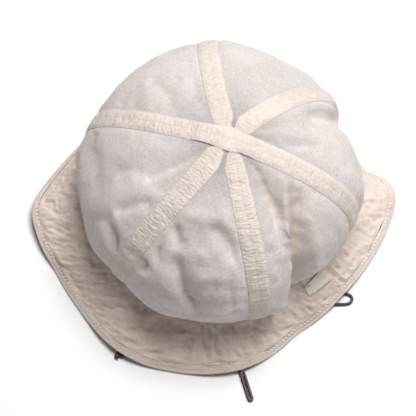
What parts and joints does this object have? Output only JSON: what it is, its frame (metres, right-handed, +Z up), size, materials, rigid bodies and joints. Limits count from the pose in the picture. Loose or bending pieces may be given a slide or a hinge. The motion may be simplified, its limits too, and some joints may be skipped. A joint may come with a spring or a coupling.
{
  "type": "soft six-panel cotton sun hat",
  "caption": "Soft washed-cotton sun hat with a round panelled crown, taped seams, a sloping puckered brim and a thin chin lace, resting on its brim.",
  "frame": {"origin": "on the surface that the hat rests on, under the middle of the hat's box without the lace", "axes": "+Z up, -Y towards the front of the hat, which faces the camera, +X to the right as seen from the front"},
  "size_m": [0.2706, 0.2657, 0.1315],
  "materials": {
    "crown_cotton": "washed plain-weave cotton, off-white",
    "tape_cotton": "cream cotton tape, stitched and puckered",
    "brim_cotton": "washed unbleached cotton, crinkled",
    "label_cotton": "plain folded cotton tab",
    "lace_leather": "dark brown leather lace, worn smooth"
  },
  "bodies": {
    "root": {"crown_panel_1": "crown_cotton", "crown_panel_2": "crown_cotton", "crown_panel_3": "crown_cotton", "crown_panel_4": "crown_cotton", "crown_panel_5": "crown_cotton", "crown_panel_6": "crown_cotton", "seam_tape_long": "tape_cotton", "seam_tape_front": "tape_cotton", "seam_tape_front_left": "tape_cotton", "seam_tape_back": "tape_cotton", "seam_tape_right": "tape_cotton", "brim": "brim_cotton", "brim_hem": "brim_cotton", "label": "label_cotton", "chin_lace_left": "lace_leather", "chin_lace_right": "lace_leather", "lace_knot": "lace_leather", "lace_pull": "lace_leather"}
  },
  "joints": []
}
